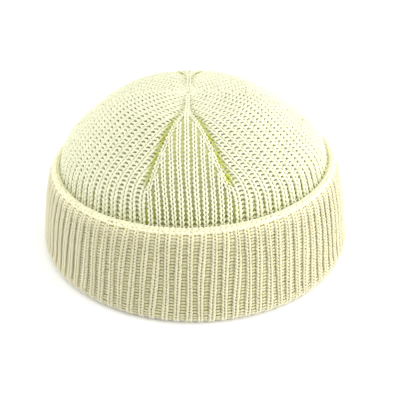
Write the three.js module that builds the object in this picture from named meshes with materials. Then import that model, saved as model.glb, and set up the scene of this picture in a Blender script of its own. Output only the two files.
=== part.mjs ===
// Rib-knit beanie with a turned-up cuff, standing on its hem.
// Millimetres, +Z up. The origin is in the middle of the hem, on the surface that the hat rests on.
// The front of the hat, with its narrow gore, faces -Y.

import * as THREE from "three";
import { mergeVertices } from "three/addons/utils/BufferGeometryUtils.js";

// Cuff
const hemRadius = 92;
const rimRadius = 81.5;
const cuffHeight = 50.4;
const cuffWall = 4;
const hemFoldRadius = 4.2;
const footHeight = 4.4;
const restingRing = 3.2;
const rimTilt = 2.4;
const rimShift = -1.2;

// Crown
const crownHeight = 90.2;
const crownWall = 3.4;
const layerGap = 0.3;
const apexShift = { x: -2.8, y: -2.4 };
const apexDimple = 1.6;

// Ribs and seams
const narrowGoreRibs = 11;
const wideGoreRibs = 18;
const narrowGoreAngle = 32;
const goreTurn = -0.5;
const ribRelief = 1.1;
const seamDepth = 1.9;
const ribLean = 2.2;

// The outside of the cuff from hem to rim.
// up: share of the cuff's height, out: share of the way from the rim's radius to the hem's.
const cuffProfile = [
  { up: 0.08, out: 1.0 },
  { up: 0.27, out: 0.87 },
  { up: 0.5, out: 0.7 },
  { up: 0.75, out: 0.45 },
  { up: 1.0, out: 0.0 },
];

// The outside of the dome from rim to apex.
// out: share of the crown's radius at the rim, up: share of its rise above the rim.
const domeProfile = [
  { out: 1.0, up: 0.0 },
  { out: 0.96, up: 0.23 },
  { out: 0.91, up: 0.36 },
  { out: 0.85, up: 0.47 },
  { out: 0.77, up: 0.59 },
  { out: 0.68, up: 0.725 },
  { out: 0.58, up: 0.855 },
  { out: 0.48, up: 0.945 },
  { out: 0.37, up: 0.978 },
  { out: 0.26, up: 0.995 },
  { out: 0.15, up: 1.0 },
  { out: 0.06, up: 0.99 },
];

// Where the seams begin above the rim, and where the narrow gores have run out to one rib, as shares
// of the crown's radius.
const seamStartShare = 0.9;
const gatherShare = 0.27;

const degree = Math.PI / 180;
const ribCount = 2 * narrowGoreRibs + 4 * wideGoreRibs;
const wideGoreAngle = (360 - 2 * narrowGoreAngle) / 4;
const crownRadius = rimRadius - cuffWall - layerGap;
const domeRise = crownHeight - cuffHeight;

// The six gores in order round the hat, the front one first.
const gores = [
  { middle: 0, ribs: narrowGoreRibs, angle: narrowGoreAngle },
  { middle: (narrowGoreAngle + wideGoreAngle) / 2, ribs: wideGoreRibs, angle: wideGoreAngle },
  { middle: narrowGoreAngle / 2 + 1.5 * wideGoreAngle, ribs: wideGoreRibs, angle: wideGoreAngle },
  { middle: 180, ribs: narrowGoreRibs, angle: narrowGoreAngle },
  { middle: 360 - narrowGoreAngle / 2 - 1.5 * wideGoreAngle, ribs: wideGoreRibs, angle: wideGoreAngle },
  { middle: 360 - (narrowGoreAngle + wideGoreAngle) / 2, ribs: wideGoreRibs, angle: wideGoreAngle },
];

// Angles from the middle of the front gore at which the crown's ribs begin at the rim.
const ribStarts = gores.flatMap(({ middle, ribs, angle }) =>
  Array.from({ length: ribs }, (_, rib) => middle + (rib / ribs - 0.5) * angle),
);

// Linear reading of a table: the value of one column where another column has the given amount.
function readTable(table, from, to, amount) {
  const rows = [...table].sort((a, b) => a[from] - b[from]);
  let upper = 1;
  while (upper < rows.length - 1 && rows[upper][from] < amount) upper += 1;
  const low = rows[upper - 1];
  const high = rows[upper];
  const share = (amount - low[from]) / (high[from] - low[from]);
  return low[to] + share * (high[to] - low[to]);
}

// Radius of the outside of the cuff's ribs at a height above the hem.
function cuffRadius(height) {
  const out = readTable(cuffProfile, "up", "out", height / cuffHeight);
  return rimRadius + Math.min(out, 1) * (hemRadius - rimRadius);
}

// A point whose height has its share of the rim's tilt: the rim is higher at +X and lower at -X.
function pointAt(radius, azimuth, height, tiltShare) {
  const z = height + rimTilt * tiltShare * Math.cos(azimuth);
  return new THREE.Vector3(radius * Math.cos(azimuth), radius * Math.sin(azimuth), z);
}

// A point below the rim, where the rim's tilt and its shift to one side fade towards the hem.
function pointBelowRim(radius, azimuth, height) {
  const share = height / cuffHeight;
  const point = pointAt(radius, azimuth, height, share);
  point.x += rimShift * share;
  return point;
}

// Azimuth of a rib of the cuff at a height. The ribs lean a little on their way up.
function cuffAzimuth(rib, height) {
  const lean = ribLean * (1 - height / cuffHeight);
  return ((rib / ribCount) * 360 - 90 - lean) * degree;
}

// A ring of the cuff with a crest and a valley for each rib.
// depth is how far the valleys lie below the crests, and nx and nz are the way that the surface faces.
function cuffRing({ radius, height, depth, nx, nz }) {
  return Array.from({ length: 2 * ribCount }, (_, index) => {
    const sunk = index % 2 === 1 ? depth : 0;
    return pointBelowRim(radius - sunk * nx, cuffAzimuth(index / 2, height), height - sunk * nz);
  });
}

// A ring of the cuff with no relief, and one point for each rib.
function plainCuffRing(radius, height) {
  const place = (_, rib) => pointBelowRim(radius, cuffAzimuth(rib, height), height);
  return Array.from({ length: ribCount }, place);
}

// The azimuth, from the middle of the front gore, of the seam beside a narrow gore at a share of the radius.
function narrowSeamAngle(share) {
  const fullRibs = narrowGoreRibs / 2;
  const taper = (share - gatherShare) / (seamStartShare - gatherShare);
  const ribsLeft = THREE.MathUtils.clamp(fullRibs * taper, 0.5, fullRibs);
  const ribAngle = narrowGoreAngle / narrowGoreRibs;
  return Math.min((ribsLeft * ribAngle) / share, 360 / gores.length / 2);
}

// The first and last azimuth of a gore at a share of the crown's radius.
function goreSpan(gore, share) {
  const seam = narrowSeamAngle(share);
  if (gore.middle === 0) return { first: -seam, last: seam };
  if (gore.middle === 180) return { first: 180 - seam, last: 180 + seam };
  if (gore.middle < 90) return { first: seam, last: 90 };
  if (gore.middle < 180) return { first: 90, last: 180 - seam };
  if (gore.middle < 270) return { first: 180 + seam, last: 270 };
  return { first: 270, last: 360 - seam };
}

// The middle line of a gore and the angle from one of its ribs to the next, at a share of the radius.
// The ribs fill the gore evenly up to where the seams begin, and keep their distance from there on.
function ribSpread(gore, share) {
  const evenShare = Math.max(share, seamStartShare);
  const { first, last } = goreSpan(gore, evenShare);
  const evenAngle = (last - first) / gore.ribs;
  return { middle: (first + last) / 2, ribAngle: (evenAngle * evenShare) / share };
}

// A ring of the crown's outside. Ribs that reach a seam end there, and their points fall together on it.
function crownRing(share, height) {
  const radius = share * crownRadius;
  const seamWeight = THREE.MathUtils.smoothstep(seamStartShare - share, 0, 1 - seamStartShare);
  const seamSunk = THREE.MathUtils.lerp(ribRelief, seamDepth, seamWeight);
  const points = [];
  for (const gore of gores) {
    const { first, last } = goreSpan(gore, share);
    const { middle, ribAngle } = ribSpread(gore, share);
    for (let column = 0; column < 2 * gore.ribs; column += 1) {
      const ribsOff = (column - gore.ribs) / 2;
      const wanted = middle + ribsOff * ribAngle;
      const angle = THREE.MathUtils.clamp(wanted, first, last);
      const ribsToSeam = Math.min(angle - first, last - angle) / ribAngle;
      const isCrest = column % 2 === 1;
      const openSunk = isCrest ? 0 : ribRelief;
      const sunk = THREE.MathUtils.lerp(seamSunk, openSunk, THREE.MathUtils.clamp(2 * ribsToSeam, 0, 1));
      points.push(domePoint(radius, share, angle, height, sunk));
    }
  }
  return points;
}

// Azimuth in the hat's frame of an angle counted from the middle of the front gore.
function crownAzimuth(angle) {
  return (angle + goreTurn - 90) * degree;
}

// A point of the dome, sunk towards the inside, with the apex pushed off the middle.
function domePoint(radius, share, angle, height, sunk) {
  const rise = (height - cuffHeight) / domeRise;
  const steepness = THREE.MathUtils.clamp(1 - rise, 0, 1);
  const inward = sunk * Math.sin((steepness * Math.PI) / 2);
  const downward = sunk * Math.cos((steepness * Math.PI) / 2);
  const point = pointAt(radius - inward, crownAzimuth(angle), height - downward, share * share);
  const shift = 1 - share ** 4;
  point.x += rimShift + apexShift.x * shift;
  point.y += apexShift.y * shift;
  return point;
}

// A ring of the crown with no relief, and its points at the starts of evenly chosen ribs.
function plainCrownRing(count, place) {
  const startOf = (index) => ribStarts[Math.floor((index * ribCount) / count)];
  return Array.from({ length: count }, (_, index) => place(startOf(index)));
}

// A ring of the dome's inside, which follows the outside at the thickness of the knit.
function innerDomeRing(count, share, height) {
  return plainCrownRing(count, (angle) => domePoint(share * crownRadius, share, angle, height, crownWall));
}

// A ring of the inner layer of the hem.
function tubeRing(radius, height) {
  return plainCrownRing(ribCount, (angle) => pointBelowRim(radius, crownAzimuth(angle), height));
}

// Collects triangles between rings and turns them into one closed geometry.
class Wall {
  constructor() {
    this.corners = [];
  }

  triangle(a, b, c) {
    this.corners.push(a, b, c);
  }

  // Two rings with as many points as each other, joined column by column.
  band(lower, upper) {
    lower.forEach((point, index) => {
      const next = (index + 1) % lower.length;
      this.triangle(point, lower[next], upper[next]);
      this.triangle(point, upper[next], upper[index]);
    });
  }

  // Two rings with different numbers of points, joined by going round both at the same pace.
  graded(lower, upper) {
    let low = 0;
    let high = 0;
    while (low < lower.length || high < upper.length) {
      const lowPoint = lower[low % lower.length];
      const highPoint = upper[high % upper.length];
      if (high === upper.length || (low + 0.5) / lower.length <= (high + 0.5) / upper.length) {
        this.triangle(lowPoint, lower[(low + 1) % lower.length], highPoint);
        low += 1;
      } else {
        this.triangle(lowPoint, upper[(high + 1) % upper.length], highPoint);
        high += 1;
      }
    }
  }

  // Joins a list of rings in order, each to the next.
  sheet(rings) {
    for (let index = 1; index < rings.length; index += 1) {
      const [lower, upper] = [rings[index - 1], rings[index]];
      if (lower.length === upper.length) this.band(lower, upper);
      else this.graded(lower, upper);
    }
  }

  // Closes a ring to a single point. A lid faces away from the sheet that ends in it.
  lid(ring, tip) {
    ring.forEach((point, index) => this.triangle(point, ring[(index + 1) % ring.length], tip));
  }

  floor(ring, tip) {
    ring.forEach((point, index) => this.triangle(ring[(index + 1) % ring.length], point, tip));
  }

  geometry() {
    const soup = new THREE.BufferGeometry().setFromPoints(this.corners);
    const merged = mergeVertices(soup, 1e-4);
    const index = merged.index.array;
    const kept = [];
    for (let at = 0; at < index.length; at += 3) {
      const [a, b, c] = [index[at], index[at + 1], index[at + 2]];
      if (a !== b && b !== c && c !== a) kept.push(a, b, c);
    }
    merged.setIndex(kept);
    merged.computeVertexNormals();
    return merged;
  }
}

// Heights at which the two layers of the hem are shaped, from the foot of the cuff to just under its rim.
const layerHeights = [footHeight, 0.3 * cuffHeight, 0.62 * cuffHeight, 0.93 * cuffHeight];

// The turned-up layer, from the fold at the hem up the outside, over the rolled rim and down the inside.
function makeCuff() {
  const wall = new Wall();
  const foldCentre = hemRadius - hemFoldRadius;
  const rimCentre = { radius: rimRadius - cuffWall / 2, height: cuffHeight - cuffWall / 2 };
  const footInside = cuffRadius(footHeight) - cuffWall - layerGap - crownWall;

  const fold = [-65, -30, 0].map((turn) => {
    const nx = Math.cos(turn * degree);
    const nz = Math.sin(turn * degree);
    const radius = foldCentre + hemFoldRadius * nx;
    const height = hemFoldRadius * (1 + nz);
    return cuffRing({ radius, height, nx, nz, depth: ribRelief });
  });
  const outside = cuffProfile.slice(1, -1).map(({ up }) => {
    const height = up * cuffHeight;
    return cuffRing({ radius: cuffRadius(height), height, nx: 1, nz: 0, depth: ribRelief });
  });
  const rim = [15, 85, 155].map((turn) => {
    const nx = Math.cos(turn * degree);
    const nz = Math.sin(turn * degree);
    const radius = rimCentre.radius + (cuffWall / 2) * nx;
    const height = rimCentre.height + (cuffWall / 2) * nz;
    return cuffRing({ radius, height, nx, nz, depth: 0.6 * ribRelief });
  });
  const downwards = [...layerHeights].reverse();
  const inside = downwards.map((height) => plainCuffRing(cuffRadius(height) - cuffWall, height));
  const foot = [
    plainCuffRing(footInside, footHeight),
    plainCuffRing(footInside, footHeight - 0.7 * hemFoldRadius),
    plainCuffRing(foldCentre - restingRing, 0),
    plainCuffRing(foldCentre, 0),
  ];
  const section = [...fold, ...outside, ...rim, ...inside, ...foot];
  wall.sheet([...section, section[0]]);
  return wall.geometry();
}

// The dome and the inner layer of the hem, from the apex down the outside and up the inside.
function makeCrown() {
  const wall = new Wall();
  const tubeHeights = [footHeight + layerGap, ...layerHeights.slice(1)];
  const levels = domeProfile.map(({ out, up }) => ({ share: out, height: cuffHeight + up * domeRise }));

  const inside = [];
  const innerCounts = [ribCount, ribCount, ribCount / 2, ribCount / 2, 24, 12];
  const innerLevels = levels.filter((_, index) => index % 2 === 1);
  innerLevels.forEach(({ share, height }, index) => {
    inside.unshift(innerDomeRing(innerCounts[index], share, height));
  });
  const tubeOut = (height) => cuffRadius(height) - cuffWall - layerGap;
  for (const height of [...tubeHeights].reverse()) {
    inside.push(tubeRing(tubeOut(height) - crownWall, height));
  }

  const outside = tubeHeights.map((height) => tubeRing(tubeOut(height), height));
  for (const { share, height } of levels) outside.push(crownRing(share, height));

  wall.sheet([...inside, ...outside]);
  const tip = domePoint(0, 0, 0, crownHeight, apexDimple);
  wall.lid(outside.at(-1), tip);
  const innerTip = domePoint(0, 0, 0, crownHeight, crownWall + apexDimple);
  wall.floor(inside[0], innerTip);
  return wall.geometry();
}

function knit(name, geometry, colour) {
  const material = new THREE.MeshStandardMaterial({ color: colour, roughness: 0.95, metalness: 0 });
  const mesh = new THREE.Mesh(geometry, material);
  mesh.name = name;
  return mesh;
}

const beanie = new THREE.Group();
beanie.add(knit("crown", makeCrown(), 0xeff0c4));
beanie.add(knit("cuff", makeCuff(), 0xe9ebbd));

export default beanie;
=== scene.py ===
import logging
import math
from dataclasses import dataclass, field, replace
from enum import Enum
from functools import partial
from typing import Callable

import bmesh
import bpy
import numpy as np
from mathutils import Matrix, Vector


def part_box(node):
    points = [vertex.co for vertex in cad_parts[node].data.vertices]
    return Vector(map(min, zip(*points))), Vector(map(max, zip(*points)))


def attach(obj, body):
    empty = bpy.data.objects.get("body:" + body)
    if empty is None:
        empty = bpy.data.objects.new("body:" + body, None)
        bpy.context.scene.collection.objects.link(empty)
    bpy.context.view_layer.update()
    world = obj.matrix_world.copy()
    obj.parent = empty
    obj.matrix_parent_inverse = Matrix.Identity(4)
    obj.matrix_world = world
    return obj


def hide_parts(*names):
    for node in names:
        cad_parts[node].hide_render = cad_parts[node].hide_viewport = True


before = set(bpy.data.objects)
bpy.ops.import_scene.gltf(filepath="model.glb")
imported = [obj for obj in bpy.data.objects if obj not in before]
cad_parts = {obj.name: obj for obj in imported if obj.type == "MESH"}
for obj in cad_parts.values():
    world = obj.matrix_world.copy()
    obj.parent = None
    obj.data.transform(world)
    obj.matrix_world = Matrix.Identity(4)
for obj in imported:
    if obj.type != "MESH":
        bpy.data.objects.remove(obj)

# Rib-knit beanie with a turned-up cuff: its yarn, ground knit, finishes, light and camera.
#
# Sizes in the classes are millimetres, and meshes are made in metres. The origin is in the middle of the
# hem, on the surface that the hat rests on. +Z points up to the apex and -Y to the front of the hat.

log = logging.getLogger("beanie")

MM = 0.001
BODY = "root"
TURN = 2 * math.pi
CURVE_STEPS = 12
LEAST_SHARE = 0.02

Array = np.ndarray
Pair = tuple[Array, Array]
Corners = list[tuple[float, float]]
Colour = tuple[float, float, float]
Place = tuple[float, float, float]
Press = Callable[[Array, Array], Pair]


class Hand(Enum):
    """Which leg of a V stitch a strand is."""

    LEFT = -1
    RIGHT = 1


class Face(Enum):
    """Which side of a knitted wall the stitches lie on."""

    OUTSIDE = 1
    INSIDE = -1


@dataclass(frozen=True)
class Section:
    """A cross-section of a modelled strand.

    out and wide are shares of the distance between ribs, up is a share of a course, and lift and thick
    are millimetres off the surface of the knit.
    """

    out: float
    up: float
    lift: float
    wide: float
    thick: float


def rings(*rows: tuple[float, ...]) -> tuple[Section, ...]:
    """Sections of a strand, each given by its out, up, lift, wide and thick."""
    return tuple(Section(*row) for row in rows)


@dataclass(frozen=True)
class Knit:
    """How the yarn of a stretch of rib lies.

    leg is one leg of a V stitch and rung is the bar in the groove. The lifts say how far off the surface
    legs, rungs and the rungs at the rim are laid, and the rungs go from one to the other over rung_fade.
    leg_room and rung_room are how many ribs they stay clear of a seam.
    """

    leg: tuple[Section, ...]
    rung: tuple[Section, ...]
    rib_lift: float
    groove_lift: float
    rim_lift: float
    rung_fade: float
    leg_room: float = 0.0
    rung_room: float = 0.0


# Corners of the cuff and of the dome, each a share of the way out and a share of the way up.
CUFF_OUTLINE = ((1.0, 0.08), (0.87, 0.27), (0.7, 0.5), (0.45, 0.75), (0.1, 0.95))

DOME_OUTLINE = (
    *((1.0, 0.0), (0.96, 0.23), (0.91, 0.36), (0.85, 0.47), (0.77, 0.59), (0.68, 0.725), (0.58, 0.855)),
    *((0.48, 0.945), (0.37, 0.978), (0.26, 0.995), (0.15, 1.0), (0.06, 0.99), (0.0, 0.965)),
)

CUFF_KNIT = Knit(
    leg=rings(
        (0.060, -0.36, -0.65, 0.100, 0.44),
        (0.085, -0.10, -0.15, 0.132, 0.64),
        (0.165, 0.40, 0.00, 0.134, 0.72),
        (0.182, 0.72, -0.20, 0.118, 0.60),
        (0.142, 1.12, -0.95, 0.080, 0.42),
    ),
    rung=rings(
        (0.18, 0.00, -0.25, 0.38, 0.38),
        (0.50, 0.10, 0.00, 0.46, 0.42),
        (0.82, 0.00, -0.25, 0.38, 0.38),
    ),
    rib_lift=-0.65,
    groove_lift=-1.45,
    rim_lift=-0.8,
    rung_fade=12.0,
)

FRONT_KNIT = Knit(
    leg=rings(
        (0.060, -0.36, -0.75, 0.110, 0.46),
        (0.100, -0.06, -0.10, 0.168, 0.70),
        (0.224, 0.40, 0.00, 0.172, 0.76),
        (0.210, 0.66, -0.05, 0.170, 0.72),
        (0.085, 1.02, -0.45, 0.115, 0.50),
    ),
    rung=rings(
        (0.20, 0.00, -0.25, 0.26, 0.38),
        (0.50, 0.06, 0.00, 0.30, 0.46),
        (0.80, 0.00, -0.25, 0.26, 0.38),
    ),
    rib_lift=-0.7,
    groove_lift=-1.65,
    rim_lift=-2.6,
    rung_fade=38.0,
    leg_room=0.85,
    rung_room=0.6,
)

SIDE_KNIT = Knit(
    leg=rings(
        (0.065, -0.36, -0.90, 0.100, 0.44),
        (0.120, -0.06, -0.20, 0.158, 0.68),
        (0.214, 0.38, 0.00, 0.168, 0.76),
        (0.212, 0.72, -0.10, 0.160, 0.70),
        (0.140, 1.12, -0.75, 0.100, 0.45),
    ),
    rung=rings(
        (0.18, -0.06, -0.20, 0.26, 0.44),
        (0.50, 0.12, 0.00, 0.38, 0.54),
        (0.82, -0.06, -0.20, 0.26, 0.44),
    ),
    rib_lift=-0.75,
    groove_lift=-0.85,
    rim_lift=-2.1,
    rung_fade=20.0,
    leg_room=-0.1,
    rung_room=-0.3,
)

HEM_LEG = rings(
    (0.060, -0.42, -1.00, 0.090, 0.40),
    (0.095, 0.00, -0.20, 0.155, 0.64),
    (0.145, 0.40, 0.00, 0.172, 0.72),
    (0.155, 0.74, -0.10, 0.165, 0.66),
    (0.125, 1.15, -0.90, 0.110, 0.40),
)

INSIDE_LEG = rings(
    (0.07, -0.25, -0.70, 0.10, 0.45),
    (0.18, 0.54, 0.00, 0.17, 0.65),
    (0.20, 1.33, -0.80, 0.10, 0.45),
)

LOOP = rings(
    (-0.12, -0.26, -0.90, 0.28, 0.35),
    (0.08, -0.08, 0.00, 0.40, 0.62),
    (0.36, 0.12, 0.05, 0.42, 0.64),
    (0.64, 0.28, -0.90, 0.28, 0.35),
)

EDGE_LEG = rings(
    (0.040, -0.45, -1.10, 0.070, 0.38),
    (0.085, 0.00, -0.30, 0.140, 0.60),
    (0.190, 0.42, 0.00, 0.170, 0.68),
    (0.200, 0.72, -0.20, 0.150, 0.60),
    (0.120, 1.22, -1.00, 0.070, 0.35),
)

SPOKE = rings(
    (0.0, 0.00, -0.60, 0.15, 0.40),
    (0.0, 0.25, -0.15, 0.55, 0.60),
    (0.0, 0.60, 0.00, 0.80, 0.70),
    (0.0, 1.00, -0.90, 0.60, 0.40),
)


def eased(value: Array, low: float, high: float) -> Array:
    """Rises smoothly from 0 at low to 1 at high."""
    share = np.clip((value - low) / (high - low), 0, 1)
    return share * share * (3 - 2 * share)


def mix(start: Array | float, end: Array | float, share: Array) -> Array:
    """Goes evenly from start at share 0 to end at share 1."""
    return start + (end - start) * share


def groove(rib: Array) -> Array:
    """Rises and falls across the knit: 0 at whole ribs and 1 halfway between."""
    return 0.5 - 0.5 * np.cos(TURN * rib)


def arc(middle: tuple[float, float], radius: float, turns: tuple[int, ...]) -> Corners:
    """Corners on a circle of the half-section, at turns in degrees."""
    angles = [math.radians(turn) for turn in turns]
    return [(middle[0] + radius * math.cos(angle), middle[1] + radius * math.sin(angle)) for angle in angles]


class Profile:
    """A smooth half-section of the hat, read by the length along it."""

    def __init__(self, corners: Corners) -> None:
        """Rounds a line of corners.

        Args:
            corners: Radius and height of each corner, in order along the section.
        """
        line = self._rounded(np.array(corners, float))
        steps = np.linalg.norm(np.diff(line, axis=0), axis=1)
        self.length = np.concatenate([[0.0], np.cumsum(steps)])
        self.radius, self.height = line.T
        self.corner_lengths = self.length[::CURVE_STEPS]
        slope = np.gradient(line, self.length, axis=0)
        slope /= np.linalg.norm(slope, axis=1, keepdims=True)
        self.normal = np.stack([slope[:, 1], -slope[:, 0]], axis=1)

    @staticmethod
    def _rounded(line: Array) -> Array:
        """Passes a smooth curve through the corners.

        Args:
            line: The corners, one in each row.

        Returns:
            The points of the curve.
        """
        chords = np.diff(line, axis=0)
        lengths = np.linalg.norm(chords, axis=1)[:, None]
        slopes = chords / lengths
        weight = lengths[1:] / (lengths[:-1] + lengths[1:])
        slopes = np.vstack([slopes[:1], slopes[:-1] * weight + slopes[1:] * (1 - weight), slopes[-1:]])
        share = np.linspace(0, 1, CURVE_STEPS, endpoint=False)[:, None]
        curve = []
        for start, end, leave, arrive, length in zip(line, line[1:], slopes, slopes[1:], lengths):
            straight = start * (1 + 2 * share) * (1 - share) ** 2 + end * share**2 * (3 - 2 * share)
            bend = leave * share * (1 - share) ** 2 - arrive * share**2 * (1 - share)
            curve.append(straight + bend * length)
        return np.vstack([*curve, line[-1:]])

    @property
    def total(self) -> float:
        """Length of the whole section."""
        return float(self.length[-1])

    def at(self, along: Array) -> tuple[Array, Array, Array, Array]:
        """Reads the section.

        Args:
            along: Lengths from the section's start.

        Returns:
            The radius, the height and the two parts of the outward normal at each length.
        """
        columns = (self.radius, self.height, self.normal[:, 0], self.normal[:, 1])
        return tuple(np.interp(along, self.length, column) for column in columns)


@dataclass
class Form:
    """The sizes of the hat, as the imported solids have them."""

    rim_radius: float = 81.5
    cuff_height: float = 50.4
    cuff_wall: float = 4.0
    fold_radius: float = 4.2
    foot_height: float = 4.4
    crown_wall: float = 3.4
    layer_gap: float = 0.3
    rim_tilt: float = 2.4
    rim_shift: float = -1.2
    apex_shift: tuple[float, float] = (-2.8, -2.4)
    narrow_ribs: int = 11
    wide_ribs: int = 18
    narrow_angle: float = 32.0
    gore_turn: float = -0.5
    rib_lean: float = 2.2
    seam_start: float = 0.9
    gather: float = 0.27
    hem_radius: float = field(init=False)
    crown_height: float = field(init=False)

    def __post_init__(self) -> None:
        """Takes the outer sizes from the frame."""
        low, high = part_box("cuff")
        self.hem_radius = (high.x - low.x) / 2 / MM
        self.crown_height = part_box("crown")[1].z / MM

    @property
    def rib_count(self) -> int:
        """Ribs right round the hat."""
        return 2 * self.narrow_ribs + 4 * self.wide_ribs

    @property
    def crown_radius(self) -> float:
        """Radius of the outside of the crown at the rim."""
        return self.rim_radius - self.cuff_wall - self.layer_gap

    def cuff_section(self) -> Corners:
        """Corners of the outside of the cuff, from just above the fold up to the rim."""
        spread = self.hem_radius - self.rim_radius
        return [(self.rim_radius + out * spread, up * self.cuff_height) for out, up in CUFF_OUTLINE]


class Cloth:
    """A knitted surface on which a place is given by rib, length and lift."""

    course: float

    def place(self, rib: Array, along: Array, lift: Array) -> Array:
        """Finds points of the knit.

        Args:
            rib: Rib numbers, with shares for places between two ribs.
            along: Lengths along the ribs.
            lift: Heights off the surface.

        Returns:
            One point in each row.
        """
        raise NotImplementedError


@dataclass
class CuffCloth(Cloth):
    """The turned-up layer, from the inside of the fold, up the outside and over the rim."""

    form: Form
    course: float = 1.71
    sway: float = 0.10

    def __post_init__(self) -> None:
        """Draws the section of the cuff."""
        form = self.form
        fold = (form.hem_radius - form.fold_radius, form.fold_radius)
        corners = arc(fold, form.fold_radius, (-185, -160, -138, -115, -90, -60, -30, -8))
        corners += form.cuff_section()
        rim_round = form.cuff_wall / 2
        middle = (form.rim_radius - rim_round, form.cuff_height - rim_round)
        self.profile = Profile(corners + arc(middle, rim_round, (30, 70, 110, 150, 190)))
        self.rim_lengths = self.profile.corner_lengths[-5:]

    def place(self, rib: Array, along: Array, lift: Array) -> Array:
        """Finds points of the cuff, as Cloth.place says."""
        form = self.form
        radius, height, out, up = self.profile.at(along)
        share = height / form.cuff_height
        swayed = rib + self.sway * np.sin(along / 11 + rib * 1.7) * np.sin(rib * 0.9 + 1)
        azimuth = np.radians(swayed / form.rib_count * 360 - 90 - form.rib_lean * (1 - share))
        reach = radius + lift * out
        rise = height + lift * up + form.rim_tilt * share * np.cos(azimuth)
        sideways = form.rim_shift * share
        return np.stack([reach * np.cos(azimuth) + sideways, reach * np.sin(azimuth), rise], axis=-1)


@dataclass
class GoreCloth(Cloth):
    """One gore of the crown, from the foot of the inner layer to the apex. Rib 0 is the gore's middle."""

    form: Form
    number: int
    course: float = 2.38
    sway: float = 0.07
    blend: float = 0.09
    rib_step: float = 0.25
    length_step: float = 0.25

    def __post_init__(self) -> None:
        """Draws the section of the crown and measures the ribs along it."""
        form = self.form
        inset = form.cuff_wall + form.layer_gap
        corners = [(form.hem_radius - inset, form.foot_height)]
        corners += [(radius - inset, height) for radius, height in form.cuff_section()[1:]]
        rim = len(corners)
        rise = form.crown_height - form.cuff_height
        corners += [(form.crown_radius * out, form.cuff_height + rise * up) for out, up in DOME_OUTLINE]
        self.profile = Profile(corners)
        self.rim_length = float(self.profile.corner_lengths[rim])
        self.narrow = self.number in (0, 3)
        self.ribs = form.narrow_ribs if self.narrow else form.wide_ribs
        self._measure()

    def share(self, radius: Array) -> Array:
        """Shares of the crown's radius."""
        return np.clip(radius / self.form.crown_radius, LEAST_SHARE, 1)

    def seam_angle(self, share: Array) -> Array:
        """Angles from the middle of a narrow gore to the seams beside it, at shares of the radius."""
        form = self.form
        full = form.narrow_ribs / 2
        left = np.clip(full * (share - form.gather) / (form.seam_start - form.gather), 0.5, full)
        return np.minimum(left * form.narrow_angle / form.narrow_ribs / share, 60)

    def span(self, share: Array) -> Pair:
        """First and last angle of the gore, counted from the middle of the front gore."""
        seam = self.seam_angle(share)
        side = np.full_like(seam, 90.0)
        spans = {
            0: (-seam, seam),
            1: (seam, side),
            2: (side, 180 - seam),
            3: (180 - seam, 180 + seam),
            4: (180 + seam, side + 180),
            5: (side + 180, 360 - seam),
        }
        return spans[self.number]

    def _even(self, share: Array) -> Array:
        """Shares of the radius, smoothly held where the seams begin and the ribs stop narrowing."""
        start, blend = self.form.seam_start, self.blend
        turned = start + (share - start + blend) ** 2 / (4 * blend)
        return np.where(np.abs(share - start) < blend, turned, np.maximum(share, start))

    def spread(self, share: Array) -> Pair:
        """The gore's middle line and the angle between its ribs, at shares of the radius."""
        even = self._even(share)
        first, last = self.span(even)
        return (first + last) / 2, (last - first) / self.ribs * even / share

    def _measure(self) -> None:
        """Fills the table that gives, for a rib and a length along it, the length along the section."""
        meridian = np.arange(0, self.profile.total, self.length_step / 2)
        radius = self.profile.at(meridian)[0]
        rib_angle = np.radians(self.spread(self.share(radius))[1])
        rows, paths = [], []
        self.reach = np.arange(0, self.ribs / 2 + 1.5, self.rib_step)
        steps = int(self.profile.total * 1.4 / self.length_step)
        lengths = np.arange(steps) * self.length_step
        for rib in self.reach:
            sideways = radius * np.gradient(rib * rib_angle, meridian)
            path = np.cumsum(np.hypot(1, sideways)) * (self.length_step / 2)
            paths.append(path)
            rows.append(np.interp(lengths, path, meridian))
        self.table = np.array(rows)
        self.paths = np.array(paths)

    def _meridian(self, rib: Array, along: Array) -> Array:
        """Length along the section of places given by rib and length along the rib."""
        row = np.clip(np.abs(rib) / self.rib_step, 0, len(self.reach) - 1.001)
        column = np.clip(along / self.length_step, 0, self.table.shape[1] - 1.001)
        low, left = row.astype(int), column.astype(int)
        across, ahead = row - low, column - left
        near = self.table[low, left] * (1 - ahead) + self.table[low, left + 1] * ahead
        far = self.table[low + 1, left] * (1 - ahead) + self.table[low + 1, left + 1] * ahead
        return near * (1 - across) + far * across

    def locate(self, angle: Array, meridian: Array) -> Pair:
        """Rib and length along it of places given by angle and length along the section."""
        middle, rib_angle = self.spread(self.share(self.profile.at(meridian)[0]))
        rib = (angle - middle) / rib_angle
        row = np.clip(np.abs(rib) / self.rib_step, 0, len(self.reach) - 1.001).astype(int)
        column = np.clip(meridian / (self.length_step / 2), 0, self.paths.shape[1] - 1).astype(int)
        return rib, self.paths[row, column]

    def level(self, rib: Array, along: Array) -> Array:
        """Heights of the knit's surface at places on ribs."""
        return self.profile.at(self._meridian(rib, along))[1]

    def angle(self, rib: Array, along: Array) -> Pair:
        """Angles from the middle of the front gore, and shares of the radius, of places on ribs."""
        share = self.share(self.profile.at(self._meridian(rib, along))[0])
        middle, rib_angle = self.spread(share)
        return middle + rib * rib_angle, share

    def room_at(self, angle: Array, share: Array) -> Array:
        """Ribs between the nearer seam and places given by angle and share of the radius."""
        first, last = self.span(share)
        return np.minimum(angle - first, last - angle) / self.spread(share)[1]

    def places(self, ribs: Array, lengths: Array, room: float) -> Pair:
        """Pairs ribs with lengths, in the gore and clear of the apex.

        Args:
            ribs: The ribs.
            lengths: The lengths along them.
            room: How many ribs the places stay clear of a seam.

        Returns:
            The rib and the length of each place.
        """
        rib, along = (grid.ravel() for grid in np.meshgrid(ribs, lengths, indexing="ij"))
        angle, share = self.angle(rib, along)
        keep = (self.room_at(angle, share) > room) & (share > 0.05)
        return rib[keep], along[keep]

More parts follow.
